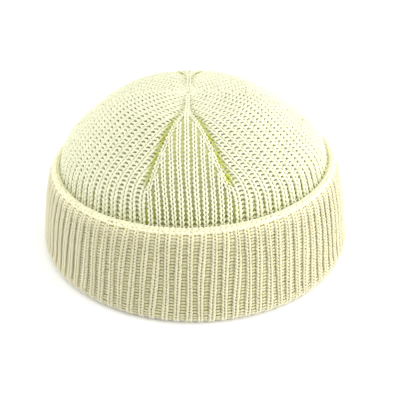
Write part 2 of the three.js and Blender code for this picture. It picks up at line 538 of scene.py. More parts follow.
    def place(self, rib: Array, along: Array, lift: Array) -> Array:
        """Finds points of the gore, as Cloth.place says."""
        radius, height, out, up = self.profile.at(self._meridian(rib, along))
        wave = np.sin(along / 9 + rib * 1.3 + self.number) * np.sin(rib * 0.7 + along / 17)
        angle, share = self.angle(rib + self.sway * wave, along)
        return crown_point(self.form, radius + lift * out, height + lift * up, height, share, angle)


@dataclass
class SeamCloth(GoreCloth):
    """The rib at the edge of a narrow gore, which runs along the seam. Its middle is rib 0."""

    hand: Hand = Hand.LEFT
    inset: float = 0.5

    def __post_init__(self) -> None:
        """Measures the rib that follows the seam."""
        super().__post_init__()
        self.meridian = np.arange(0, self.profile.total, self.length_step / 2)
        radius = self.profile.at(self.meridian)[0]
        turn = np.radians(self._edge(self.share(radius)))
        steps = np.hypot(1, radius * np.gradient(turn, self.meridian)) * (self.length_step / 2)
        self.path = np.cumsum(steps)
        self.rim_length = float(np.interp(self.rim_length, self.meridian, self.path))

    def _edge(self, share: Array) -> Array:
        """Angle of the middle of the edge rib at shares of the radius."""
        middle, rib_angle = self.spread(share)
        inset = np.minimum(self.inset * rib_angle, self.seam_angle(share))
        return middle + self.hand.value * (self.seam_angle(share) - inset)

    def length_at(self, radius: float) -> float:
        """Length along the seam at which the crown has a radius."""
        return float(np.interp(radius, self.profile.at(self.meridian)[0][::-1], self.path[::-1]))

    def _meridian(self, rib: Array, along: Array) -> Array:
        """Length along the section of places given by length along the seam."""
        return np.interp(along, self.path, self.meridian)

    def angle(self, rib: Array, along: Array) -> Pair:
        """Angles and shares of the radius of places beside the middle of the edge rib."""
        share = self.share(self.profile.at(self._meridian(rib, along))[0])
        return self._edge(share) + rib * self.spread(share)[1], share


@dataclass
class ApexCloth(Cloth):
    """The gathered middle of the crown. Ribs are spokes and lengths run out from the middle."""

    form: Form
    spokes: int = 16
    course: float = 9.0

    def __post_init__(self) -> None:
        """Draws the section of the crown."""
        self.profile = GoreCloth(self.form, 0).profile

    def place(self, rib: Array, along: Array, lift: Array) -> Array:
        """Finds points of the apex, as Cloth.place says. A rib's share is millimetres to the side."""
        spoke = np.round(rib / 10)
        sideways = rib - spoke * 10
        angle = spoke / self.spokes * 360 + np.degrees(np.arctan2(sideways, np.maximum(along, 0.5)))
        reach = np.hypot(sideways, along)
        radius, height, out, up = self.profile.at(self.profile.total - reach)
        share = np.clip(radius / self.form.crown_radius, 0.0, 1)
        return crown_point(self.form, radius + lift * out, height + lift * up, height, share, angle)


def crown_point(
    form: Form,
    reach: Array,
    rise: Array,
    level: Array,
    share: Array,
    angle: Array,
) -> Array:
    """Places points of the crown, with the rim's tilt and the apex off the middle.

    Args:
        form: The sizes of the hat.
        reach: Distances from the axis.
        rise: Heights above the surface that the hat rests on.
        level: Heights of the knit's surface there, which say how far the rim's tilt and shift have faded.
        share: Shares of the crown's radius, which say how far the apex's shift has faded.
        angle: Angles from the middle of the front gore, in degrees.

    Returns:
        One point in each row.
    """
    azimuth = np.radians(angle + form.gore_turn - 90)
    fade = np.clip(level / form.cuff_height, 0, 1)
    shift = np.where(level > form.cuff_height, 1 - share**4, 0)
    return np.stack(
        [
            reach * np.cos(azimuth) + form.rim_shift * fade + form.apex_shift[0] * shift,
            reach * np.sin(azimuth) + form.apex_shift[1] * shift,
            rise + form.rim_tilt * fade * share**2 * np.cos(azimuth),
        ],
        axis=-1,
    )


@dataclass
class Strand:
    """A short length of yarn, modelled once and laid many times."""

    AWAY = 10.0

    points: Array
    corners: Array
    starts: Array
    uv: Array

    @classmethod
    def modelled(cls, sections: tuple[Section, ...], sides: int, across: bool = False) -> "Strand":
        """Models a strand from a cylinder that is cut into rings, which are then sized and moved.

        Args:
            sections: The rings, from one end to the other.
            sides: Sides of each ring.
            across: True for a strand that runs across the ribs and not along them.

        Returns:
            The strand, with out, up and lift as its three coordinates.
        """
        bpy.ops.object.select_all(action="DESELECT")
        axis = 0 if across else 1
        last = len(sections) - 1
        bpy.ops.mesh.primitive_cylinder_add(
            vertices=sides,
            radius=1,
            depth=last,
            location=cls._on_axis(axis, cls.AWAY + last / 2),
            rotation=(0, math.pi / 2, 0) if across else (-math.pi / 2, 0, 0),
        )
        piece = bpy.context.object
        bpy.ops.object.transform_apply(location=True, rotation=True, scale=False)
        bpy.ops.object.mode_set(mode="EDIT")
        for ring in range(1, last):
            cut = cls._on_axis(axis, cls.AWAY + ring)
            bpy.ops.mesh.select_all(action="SELECT")
            bpy.ops.mesh.bisect(plane_co=cut, plane_no=cls._on_axis(axis, 1.0))
        for ring, section in enumerate(sections):
            cls._size_ring(piece, axis, cls.AWAY + ring, section)
        bpy.ops.mesh.select_all(action="SELECT")
        bpy.ops.mesh.normals_make_consistent(inside=False)
        bpy.ops.object.mode_set(mode="OBJECT")
        strand = cls._read(piece.data)
        bpy.data.objects.remove(piece)
        return strand

    @staticmethod
    def _on_axis(axis: int, level: float) -> list[float]:
        """The point of an axis at a level."""
        return [level if number == axis else 0.0 for number in range(3)]

    @classmethod
    def _size_ring(cls, piece: bpy.types.Object, axis: int, level: float, section: Section) -> None:
        """Selects one ring of the cylinder, sizes it and moves it to its section.

        Args:
            piece: The cylinder, in edit mode.
            axis: The axis that the strand runs along.
            level: Where the ring is on that axis.
            section: The section that it becomes.
        """
        bpy.ops.mesh.select_all(action="DESELECT")
        bpy.ops.mesh.select_mode(type="VERT")
        shape = bmesh.from_edit_mesh(piece.data)
        for vertex in shape.verts:
            vertex.select = abs(vertex.co[axis] - level) < 0.01
        shape.select_flush_mode()
        bmesh.update_edit_mesh(piece.data)
        middle = cls._on_axis(axis, level)
        size = (1, section.wide, section.thick) if axis == 0 else (section.wide, 1, section.thick)
        bpy.ops.transform.resize(value=size, center_override=middle)
        target = (section.out, section.up, section.lift)
        bpy.ops.transform.translate(value=[end - start for end, start in zip(target, middle)])

    @classmethod
    def _read(cls, mesh: bpy.types.Mesh) -> "Strand":
        """Reads a modelled strand into arrays."""
        points = np.empty(len(mesh.vertices) * 3)
        mesh.vertices.foreach_get("co", points)
        corners = np.empty(len(mesh.loops), int)
        mesh.loops.foreach_get("vertex_index", corners)
        starts = np.empty(len(mesh.polygons), int)
        mesh.polygons.foreach_get("loop_start", starts)
        uv = np.empty(len(mesh.loops) * 2)
        mesh.uv_layers.active.data.foreach_get("uv", uv)
        return cls(points.reshape(-1, 3), corners, starts, uv.reshape(-1, 2))

    def turned_over(self) -> "Strand":
        """The strand with its faces pointing the other way."""
        ends = np.append(self.starts[1:], len(self.corners))
        order = np.concatenate([np.arange(end - 1, start - 1, -1) for start, end in zip(self.starts, ends)])
        return replace(self, corners=self.corners[order], uv=self.uv[order])

    def mirrored(self) -> "Strand":
        """The strand for the other hand, with its faces still pointing outwards."""
        return replace(self.turned_over(), points=self.points * (-1, 1, 1))


@dataclass
class Stitches:
    """Strands laid on a cloth, gathered into one mesh."""

    cloth_wall: float
    seed: int
    widest_shake: float = 2.5
    # Depth in millimetres over which the painted shade grows to its full strength.
    sink_depth: float = 3.0

    def __post_init__(self) -> None:
        """Starts with nothing laid."""
        self.random = np.random.default_rng(self.seed)
        self.gathered: dict[str, list[Array]] = {}
        self.point_total = 0
        self.corner_total = 0

    def lay(
        self,
        strand: Strand,
        cloth: Cloth,
        rib: Array,
        along: Array,
        lift: Array | float,
        press: Press | None = None,
        paler: Array | float = 0.0,
        wander: float = 0.04,
        face: Face = Face.OUTSIDE,
    ) -> None:
        """Lays one strand at each place.

        Args:
            strand: The strand.
            cloth: The knit that it lies on.
            rib: Rib numbers of the places.
            along: Lengths of the places along the ribs.
            lift: Heights of the places off the surface.
            press: Gives, for ribs and lengths, how far the knit is pressed in and how much painted shade,
                darker and greener, it gets.
            paler: Painted light: how much paler they are, in steps of the finish's uneven tone.
            wander: How unevenly the strands lie, as a share of a course.
            face: The side of the wall that they lie on.
        """
        count = len(rib)
        if count == 0:
            return
        if face is Face.INSIDE:
            strand = strand.turned_over()
        limit = self.widest_shake * wander
        shake = self.random.normal(0, wander, (count, 3)).clip(-limit, limit)
        local = strand.points[None, :, :]
        out = rib[:, None] + local[..., 0] * (1 + shake[:, :1])
        length = along[:, None] + (local[..., 1] + shake[:, 1:2]) * cloth.course
        pressed, green = press(out, length) if press else (0.0, 0.0)
        level = np.broadcast_to(lift, count)[:, None] + local[..., 2]
        height = level + shake[:, 2:3] - pressed
        if face is Face.INSIDE:
            height = -self.cloth_wall - height
        laid = cloth.place(out, length, height).reshape(-1, 3)
        laid[:, 2] = np.maximum(laid[:, 2], 0)
        # Painted shade: the deeper a strand lies, and the more the press adds, the darker and greener its
        # colour.
        depth = np.clip((pressed - level) / self.sink_depth + green, 0, 1)
        # Uneven tone of each stitch, with painted light added where paler is given.
        tint = np.repeat(shake[:, 0] / wander + paler, len(strand.points))
        self._gather(strand, count, {"points": laid, "sink": depth.ravel(), "tint": tint})

    def _gather(self, strand: Strand, count: int, laid: dict[str, Array]) -> None:
        """Adds laid strands to the mesh.

        Args:
            strand: The strand.
            count: How many of it are laid.
            laid: The points of all of them, with the numbers kept for each point.
        """
        copies = np.arange(count)[:, None]
        laid["corners"] = (strand.corners + copies * len(strand.points) + self.point_total).ravel()
        laid["starts"] = (strand.starts + copies * len(strand.corners) + self.corner_total).ravel()
        laid["uv"] = np.tile(strand.uv, (count, 1))
        for title, values in laid.items():
            self.gathered.setdefault(title, []).append(values)
        self.point_total += count * len(strand.points)
        self.corner_total += count * len(strand.corners)

    def piece(self, name: str) -> bpy.types.Object:
        """Makes the gathered mesh an object.

        Args:
            name: The object's name.

        Returns:
            The object, in the scene.
        """
        laid = {title: np.concatenate(values) for title, values in self.gathered.items()}
        mesh = bpy.data.meshes.new(name)
        for items, title, values in (
            (mesh.vertices, "co", laid["points"] * MM),
            (mesh.loops, "vertex_index", laid["corners"]),
            (mesh.polygons, "loop_start", laid["starts"]),
        ):
            items.add(len(values))
            items.foreach_set(title, values.ravel())
        mesh.update(calc_edges=True)
        mesh.shade_smooth()
        mesh.uv_layers.new(name="Yarn").data.foreach_set("uv", laid["uv"].ravel())
        mark(mesh, sink=laid["sink"], tint=laid["tint"])
        piece = bpy.data.objects.new(name, mesh)
        bpy.context.scene.collection.objects.link(piece)
        return piece


class Paint:
    """A node material in the making."""

    def __init__(self, name: str, colour: Colour, roughness: float, specular: float) -> None:
        """Starts the material.

        Args:
            name: The material's name.
            colour: Its colour in a plain view.
            roughness: Its roughness.
            specular: How strongly it shines.
        """
        self.material = bpy.data.materials.new(name)
        self.material.use_nodes = True
        self.material.diffuse_color = (*colour, 1)
        self.nodes = self.material.node_tree.nodes
        self.link = self.material.node_tree.links.new
        self.shader = self.nodes["Principled BSDF"]
        self.shader.inputs["Roughness"].default_value = roughness
        self.shader.inputs["Specular IOR Level"].default_value = specular

    def kept(self, title: str) -> bpy.types.NodeSocket:
        """Reads a number that the mesh keeps for each point."""
        node = self.nodes.new("ShaderNodeAttribute")
        node.attribute_name = title
        return node.outputs["Fac"]

    def risen(
        self, value: bpy.types.NodeSocket, low: float, high: float, curve: str = "LINEAR"
    ) -> bpy.types.NodeSocket:
        """Makes a share of a value.

        Args:
            value: The value.
            low: Where the share is 0.
            high: Where it is 1.
            curve: How it rises.

        Returns:
            The share.
        """
        node = self.nodes.new("ShaderNodeMapRange")
        node.interpolation_type = curve
        node.inputs["From Min"].default_value = low
        node.inputs["From Max"].default_value = high
        self.link(value, node.inputs["Value"])
        return node.outputs["Result"]

    def mixed(
        self, share: bpy.types.NodeSocket, first: Colour | bpy.types.NodeSocket, second: Colour
    ) -> bpy.types.NodeSocket:
        """Mixes two colours.

        Args:
            share: The share of the second one.
            first: The first colour, or the socket that gives it.
            second: The second colour.

        Returns:
            The mixed colour.
        """
        node = self.nodes.new("ShaderNodeMix")
        node.data_type = "RGBA"
        self.link(share, node.inputs[0])
        if isinstance(first, tuple):
            node.inputs[6].default_value = (*first, 1)
        else:
            self.link(first, node.inputs[6])
        node.inputs[7].default_value = (*second, 1)
        return node.outputs[2]

    def noise(self, scale: float) -> bpy.types.NodeSocket:
        """Makes fine noise that stays with the object."""
        place = self.nodes.new("ShaderNodeTexCoord")
        node = self.nodes.new("ShaderNodeTexNoise")
        node.inputs["Scale"].default_value = scale
        self.link(place.outputs["Object"], node.inputs["Vector"])
        return node.outputs["Fac"]

    def bumped(
        self,
        height: bpy.types.NodeSocket,
        strength: float,
        distance: float,
        below: bpy.types.NodeSocket | None = None,
    ) -> bpy.types.NodeSocket:
        """Makes a bump.

        Args:
            height: The heights, as shares of the distance.
            strength: How strong the bump is.
            distance: Its full height in millimetres.
            below: A bump that it lies on.

        Returns:
            The bumped normal.
        """
        node = self.nodes.new("ShaderNodeBump")
        node.inputs["Strength"].default_value = strength
        node.inputs["Distance"].default_value = distance * MM
        self.link(height, node.inputs["Height"])
        if below:
            self.link(below, node.inputs["Normal"])
        return node.outputs[0]

    def done(self, colour: bpy.types.NodeSocket, normal: bpy.types.NodeSocket) -> bpy.types.Material:
        """Gives the shader its colour and normal, and the material back."""
        self.link(colour, self.shader.inputs["Base Color"])
        self.link(normal, self.shader.inputs["Normal"])
        return self.material


@dataclass(frozen=True)
class YarnFinish:
    """Soft matt yarn of three plies, with painted shade: its colour turns darker and greener where a strand
    lies deep between others, beside the seams and at the foot of the dome.
    """

    name: str
    colour: Colour = (0.775, 0.78, 0.56)
    # Painted shade: the colours the yarn turns to as it lies deeper, and the depths where they take over.
    # They stand in for shadow and for light bounced green between the strands.
    mid_shade_colour: Colour = (0.62, 0.63, 0.36)
    deep_shade_colour: Colour = (0.53, 0.57, 0.08)
    shade_start: float = 0.11
    mid_shade_end: float = 0.62
    deep_shade_end: float = 0.80
    tint_step: float = 0.02
    plies: float = 3.0
    twist: float = 4.0
    ply_bump: float = 0.25
    ply_height: float = 0.1
    fibre_scale: float = 2600
    fibre_bump: float = 0.25
    fibre_height: float = 0.15
    roughness: float = 0.85
    specular: float = 0.15
    sheen: float = 0.4
    sheen_roughness: float = 0.6

    def material(self) -> bpy.types.Material:
        """Builds the node material."""
        paint = Paint(self.name, self.colour, self.roughness, self.specular)
        paint.shader.inputs["Sheen Weight"].default_value = self.sheen
        paint.shader.inputs["Sheen Roughness"].default_value = self.sheen_roughness

        # Painted shade: mixes the colour towards the darker, greener shade colours by how deep the strand
        # lies.
        sink = paint.kept("sink")
        depth = paint.risen(sink, self.shade_start, self.mid_shade_end, "SMOOTHSTEP")
        colour = paint.mixed(depth, self.colour, self.mid_shade_colour)
        colour = paint.mixed(paint.risen(sink, self.mid_shade_end, self.deep_shade_end), colour, self.deep_shade_colour)
        # Each stitch's uneven tone, and on the cuff's yarn near the rim painted light.
        shade = paint.nodes.new("ShaderNodeMath")
        shade.operation = "MULTIPLY_ADD"
        shade.inputs[1].default_value = self.tint_step
        shade.inputs[2].default_value = 1 - self.tint_step
        paint.link(paint.kept("tint"), shade.inputs[0])
        toned = paint.nodes.new("ShaderNodeVectorMath")
        toned.operation = "SCALE"
        paint.link(colour, toned.inputs[0])
        paint.link(shade.outputs[0], toned.inputs["Scale"])

        place = paint.nodes.new("ShaderNodeUVMap")
        place.uv_map = "Yarn"
        turned = paint.nodes.new("ShaderNodeVectorMath")
        turned.operation = "DOT_PRODUCT"
        turned.inputs[1].default_value = (self.plies * TURN, self.twist * TURN, 0)
        paint.link(place.outputs[0], turned.inputs[0])
        wave = paint.nodes.new("ShaderNodeMath")
        wave.operation = "SINE"
        paint.link(turned.outputs["Value"], wave.inputs[0])
        ply = paint.bumped(wave.outputs[0], self.ply_bump, self.ply_height)
        fuzz = paint.bumped(paint.noise(self.fibre_scale), self.fibre_bump, self.fibre_height, ply)
        return paint.done(toned.outputs[0], fuzz)


@dataclass(frozen=True)
class GroundFinish:
    """The knit seen through the gaps between stitches: the yarn's own pale colour inside, and painted shade
    outside, darker in the gaps and greener in the crease.
    """

    name: str
    # Painted shade: the first two colours stand in for shadow in the gaps and in the creases. The inner
    # colour is the yarn's own.
    colour: Colour = (0.57, 0.58, 0.27)
    crease_shade_colour: Colour = (0.54, 0.58, 0.07)
    inner_colour: Colour = (0.74, 0.74, 0.53)
    roughness: float = 0.95
    specular: float = 0.05
    fibre_scale: float = 1500
    fibre_bump: float = 0.4
    fibre_height: float = 0.3

    def material(self) -> bpy.types.Material:
        """Builds the node material."""
        paint = Paint(self.name, self.colour, self.roughness, self.specular)
        # Painted shade: the outer face is mixed from the yarn's own inner colour towards the dark colour, and
        # the crease towards the green.
        colour = paint.mixed(paint.kept("outer"), self.inner_colour, self.colour)
        colour = paint.mixed(paint.kept("crease"), colour, self.crease_shade_colour)
        fuzz = paint.bumped(paint.noise(self.fibre_scale), self.fibre_bump, self.fibre_height)
        return paint.done(colour, fuzz)


def mark(mesh: bpy.types.Mesh, **kept: Array) -> None:
    """Keeps numbers for each point of a mesh, for its finish to read.

    Args:
        mesh: The mesh.
        kept: The numbers of each attribute.
    """
    for title, values in kept.items():
        mesh.attributes.new(title, "FLOAT", "POINT").data.foreach_set("value", np.asarray(values, float))


def dress(piece: bpy.types.Object, node: str, material: bpy.types.Material) -> None:
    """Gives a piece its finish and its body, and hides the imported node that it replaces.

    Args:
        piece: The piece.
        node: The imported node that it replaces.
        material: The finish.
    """
    piece.data.materials.clear()
    piece.data.materials.append(material)
    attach(piece, BODY)
    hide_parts(node)
    log.info("%s: %d faces", piece.name, len(piece.data.polygons))


def spun(name: str, section: Corners, columns: int) -> bpy.types.Object:
    """Draws a closed half-section by extruding a point, and spins it round the axis.

    Args:
        name: The object's name.
        section: Radius and height of each corner of the half-section, in order.
        columns: Steps of the spin.

    Returns:
        The spun wall, with its faces outwards.
    """
    bpy.ops.object.select_all(action="DESELECT")
    bpy.ops.mesh.primitive_plane_add(size=1)
    piece = bpy.context.object
    piece.name = piece.data.name = name
    bpy.ops.object.mode_set(mode="EDIT")
    bpy.ops.mesh.select_all(action="SELECT")
    bpy.ops.mesh.merge(type="CENTER")
    start = (section[0][0] * MM, 0, section[0][1] * MM)
    bpy.ops.transform.translate(value=start)
    for (radius, height), (next_radius, next_height) in zip(section, section[1:]):
        move = ((next_radius - radius) * MM, 0, (next_height - height) * MM)
        bpy.ops.mesh.extrude_vertices_move(TRANSFORM_OT_translate={"value": move})
    bpy.ops.mesh.select_all(action="SELECT")
    bpy.ops.mesh.spin(steps=columns, angle=2 * math.pi, center=(0, 0, 0), axis=(0, 0, 1))
    bpy.ops.mesh.select_all(action="SELECT")
    bpy.ops.mesh.remove_doubles(threshold=0.01 * MM)
    bpy.ops.mesh.normals_make_consistent(inside=False)
    bpy.ops.object.mode_set(mode="OBJECT")
    bpy.ops.object.shade_smooth()
    return piece


def points_of(piece: bpy.types.Object) -> Array:
    """Reads a piece's points, in millimetres."""
    points = np.empty(len(piece.data.vertices) * 3)
    piece.data.vertices.foreach_get("co", points)
    return points.reshape(-1, 3) / MM


def move_points(piece: bpy.types.Object, points: Array) -> None:
    """Moves a piece's points, given in millimetres."""
    piece.data.vertices.foreach_set("co", (points * MM).ravel())
    piece.data.update()


def nearest_corners(section: Array, corners: Array) -> Array:
    """Finds the number of the corner that each place of a half-section is nearest to."""
    parts = np.array_split(section, 40)
    return np.concatenate([np.linalg.norm(part[:, None] - corners, axis=2).argmin(1) for part in parts])


@dataclass
class Crown:
    """The dome with its six gores and the inner layer of the hem."""

    form: Form
    columns: int = 376
    below_rim: float = 4.0
    crest_depth: float = 1.2
    narrow_groove: float = 2.3
    narrow_upper_groove: float = 1.35
    wide_groove: float = 1.9
    # Painted shade: share of the ground's dark colour in wide gores, which is full in narrow gores.
    wide_shade_share: float = 0.5
    rim_groove: float = 2.9
    seam_groove: float = 2.9
    inside_depth: float = 2.4
    inside_relief: float = 0.25
    least_wall: float = 0.35
    fade_length: float = 20.0
    seam_tuck: float = 1.35
    seam_width: float = 0.75
    # Painted shade: how much darker and greener the yarn is beside the seams and at the foot of the dome.
    seam_shade: float = 0.42
    foot_shade: float = 0.22
    foot_lift: float = -1.45
    edge_lift: float = -0.85
    bar_lift: float = -1.1
    bar_step: float = 1.5
    spoke_lift: float = -0.75
    side_seam: float = 0.3
    seed: int = 7

    def build(self) -> None:
        """Builds and dresses the ground and the yarn of each gore."""
        self.yarn = YarnFinish("crown_yarn").material()
        self.gores = [GoreCloth(self.form, number) for number in range(6)]
        dress(self.ground(), "crown", GroundFinish("crown_ground").material())
        for gore in self.gores:
            dress(self.gore_yarn(gore), "crown", self.yarn)
        dress(self.apex(), "crown", self.yarn)
        dress(self.inside(), "crown", self.yarn)

    def ground(self) -> bpy.types.Object:
        """The wall under the stitches, spun in one piece and then pressed into ribs and seams."""
        profile = self.gores[0].profile
        lengths = np.linspace(0, profile.total, 64)
        rows = np.stack(profile.at(lengths), axis=1)
        wall = self.form.crown_wall
        outer = [(max(r, 0), h) for r, h, _, _ in rows]
        inner = [(max(r - wall * out, 0), h - wall * up) for r, h, out, up in rows]
        piece = spun("crown_ground", [*outer[::-1], *inner], self.columns)
        points = points_of(piece)
        reach = np.hypot(points[:, 0], points[:, 1])
        section = np.stack([reach, points[:, 2]], axis=1)
        corners = np.array([*outer, *inner])
        nearest = nearest_corners(section, corners)
        row = rows[nearest % len(rows)]
        angle = (np.degrees(np.arctan2(points[:, 1], points[:, 0])) + 90) % 360
        share = self.gores[0].share(row[:, 0])
        outer_face = nearest < len(rows)
        outside, inside, strength, crease = self._depths(angle, share, row[:, 1])
        depth = np.where(outer_face, outside, inside)
        reach = np.maximum(row[:, 0] - depth * row[:, 2], 0)
        rise = row[:, 1] - depth * row[:, 3]
        move_points(piece, crown_point(self.form, reach, rise, row[:, 1], share, angle))
        # Painted shade: how strongly the ground's outer face takes the dark colour and the crease green.
        mark(piece.data, outer=outer_face * strength, crease=outer_face * crease)
        return piece

    def _rim_band(self, level: Array) -> Array:
        """How near heights are to the rim, where the grooves are deepest: 1 at the rim, 0 away from it."""
        rim = self.form.cuff_height
        return eased(level, rim - 12, rim - 4) * (1 - eased(level, rim, rim + self.fade_length))

    def _depths(self, angle: Array, share: Array, level: Array) -> tuple[Array, ...]:
        """How deep the two faces of the ground lie under the stitches, and how strongly painted shade colours
        them.

        Args:
            angle: Angles from the middle of the front gore.
            share: Shares of the crown's radius.
            level: Heights.

        Returns:
            The depths of the outer and the inner face, and the strengths of the painted shade in the outer
            colour and in the crease.
        """
        outside = np.full(len(angle), self.crest_depth)
        inside = np.full(len(angle), self.inside_depth)
        strength = np.ones(len(angle))
        crease = np.zeros(len(angle))
        near_rim = self._rim_band(level)
        rim = self.form.cuff_height
        # Painted shade in the crease just above the rim.
        rim_crease_shade = (1 - eased(level, rim + 3, rim + 18)) * near_rim
        for gore in self.gores:
            room = gore.room_at(angle if gore.number else (angle + 180) % 360 - 180, share)
            middle, rib_angle = gore.spread(share)
            turn = (angle - middle + 180) % 360 - 180
            phase = 0.0 if gore.narrow else 0.5
            valley = groove(turn / rib_angle - phase)
            deepest = self.wide_groove
            if gore.narrow:
                deepest = mix(self.narrow_upper_groove, self.narrow_groove, eased(share, 0.6, 0.97))
            deepest = mix(deepest, self.rim_groove, near_rim)
            depth = mix(self.crest_depth, deepest, valley)
            seam = (1 - eased(room, 0.15, 0.6)) * self._opened(share)
            side = np.abs((angle + 90) % 180 - 90) > 60
            seam = seam * np.where(side, self.side_seam, 1)
            depth = depth + (self.seam_groove - depth) * seam
            here = room >= 0
            outside[here] = depth[here]
            inner = self.inside_depth + self.inside_relief * (2 * valley - 1)
            inner = np.maximum(inner, depth + self.least_wall)
            inside[here] = inner[here]
            # Painted shade: the dark outer colour is full in narrow gores and grows in wide gores near the
            # rim and the seams. The crease green shows near the rim and in the seams.
            dark = 1.0 if gore.narrow else self.wide_shade_share
            strength[here] = (dark + (1 - dark) * np.maximum(near_rim, seam))[here]
            crease[here] = np.maximum(rim_crease_shade, seam)[here]
        gather = eased(share, 0.05, 0.16)
        return 0.9 + (outside - 0.9) * gather, inside, strength, crease

    def gore_yarn(self, gore: GoreCloth) -> bpy.types.Object:
        """Lays the V stitches of one gore, the rungs between its ribs and the ribs along its seams.

        Args:
            gore: The gore.

        Returns:
            The gore's yarn.
        """
        knit = FRONT_KNIT if gore.narrow else SIDE_KNIT
        leg = Strand.modelled(knit.leg, sides=5)
        rung = Strand.modelled(knit.rung, sides=5, across=True)
        stitches = Stitches(cloth_wall=self.form.crown_wall, seed=self.seed + gore.number)
        start = gore.rim_length - self.below_rim
        lengths = np.arange(start, gore.profile.total * 1.35, gore.course)

        crests = np.arange(gore.ribs) + 0.5 - gore.ribs / 2
        rib, along = gore.places(crests, lengths, knit.leg_room)
        press = partial(self._pressed, gore)
        for strand in (leg, leg.mirrored()):
            stitches.lay(strand, gore, rib, along, knit.rib_lift, press)

        rib, along = gore.places(crests[:-1] + 0.5, lengths + gore.course / 2, knit.rung_room)
        lift = mix(knit.rim_lift, knit.groove_lift, eased(along - gore.rim_length, 0, knit.rung_fade))
        rim = self.form.cuff_height
        lift = mix(self.foot_lift, lift, eased(gore.level(rib, along), rim + 0.5, rim + 7))
        stitches.lay(rung, gore, rib - 0.5, along, lift, press)

        if gore.narrow:
            seam_leg = Strand.modelled(EDGE_LEG, sides=5)
            for hand in Hand:
                seam = SeamCloth(self.form, gore.number, hand=hand)
                end = seam.length_at(0.07 * self.form.crown_radius)
                along = np.arange(seam.rim_length - self.below_rim, end, seam.course)
                rib = np.zeros(len(along))
                share = seam.angle(rib, along)[1]
                upper = eased(self.form.seam_start - share, -0.02, 0.06)
                below, above = upper < 0.5, upper >= 0.5
                for strand, closed in ((leg, seam_leg), (leg.mirrored(), seam_leg.mirrored())):
                    press = partial(self._pressed, seam)
                    stitches.lay(strand, seam, rib[below], along[below], knit.rib_lift, press)
                    stitches.lay(closed, seam, rib[above], along[above], self.edge_lift)
        if gore.number in (1, 4):
            self._close(stitches, gore, rung)
        return stitches.piece(f"crown_yarn_{gore.number}")

    def _close(self, stitches: Stitches, gore: GoreCloth, rung: Strand) -> None:
        """Lays bars across the seam between two wide gores."""
        meridian = np.arange(gore.rim_length, gore.profile.total - 5, self.bar_step)
        angle = np.full(len(meridian), 90.0 if gore.number == 1 else 270.0)
        rib, along = gore.locate(angle, meridian)
        stitches.lay(rung, gore, rib - 0.5, along, self.bar_lift, wander=0.08)

    def _opened(self, share: Array) -> Array:
        """How deep the seams are: none at the rim, full on the slope and shallow again near the apex."""
        return eased(self.form.seam_start - share, -0.02, 0.05) * (0.25 + 0.75 * eased(share, 0.2, 0.6))

    def _pressed(self, gore: GoreCloth, rib: Array, along: Array) -> Pair:
        """Says how the yarn lies at the seams and at the foot of the dome.

        Args:
            gore: The gore.
            rib: Rib numbers.
            along: Lengths along the ribs.

        Returns:
            How far the yarn of a wide gore is tucked in beside its seams, and how much painted shade, darker
            and greener, the yarn gets there and at the foot.
        """
        rim = self.form.cuff_height
        # Painted shade at the foot of the dome, just above the rim.
        foot = self.foot_shade * (1 - eased(gore.level(rib, along), rim - 1, rim + 9))
        if gore.narrow:
            return np.zeros_like(foot), foot
        angle, share = gore.angle(rib, along)
        near = (1 - eased(gore.room_at(angle, share), 0.0, self.seam_width)) * self._opened(share)
        side = np.minimum(np.abs(angle - 90), np.abs(angle - 270)) / gore.spread(share)[1] < 2
        near = near * np.where(side, self.side_seam, 1)
        return self.seam_tuck * near, np.maximum(foot, self.seam_shade * near)

    def apex(self) -> bpy.types.Object:
        """Lays the gathered yarn in the middle of the crown."""
        stitches = Stitches(cloth_wall=self.form.crown_wall, seed=self.seed + 12)
        cloth = ApexCloth(self.form)
        spoke = Strand.modelled(SPOKE, sides=6)
        rib = np.arange(cloth.spokes) * 10.0
        stitches.lay(spoke, cloth, rib, np.zeros(cloth.spokes), self.spoke_lift, wander=0.05)
        return stitches.piece("crown_apex")

    def inside(self) -> bpy.types.Object:
        """Lays the stitches of the inner face, whose ribs stand where the outer face has its grooves."""
        stitches = Stitches(cloth_wall=self.form.crown_wall - 0.5, seed=self.seed + 20)
        leg = Strand.modelled(INSIDE_LEG, sides=4)
        for gore in self.gores:
            lengths = np.arange(0, gore.profile.total * 1.35, gore.course * 1.38)
            ribs = np.arange(gore.ribs + 1) - gore.ribs / 2
            rib, along = gore.places(ribs, lengths, -0.2 if gore.narrow else 0.1)
            lift = -0.2 + 0.45 * self._rim_band(gore.level(rib, along))
            for strand in (leg, leg.mirrored()):
                stitches.lay(strand, gore, rib, along, lift, face=Face.INSIDE)
        return stitches.piece("crown_inside")


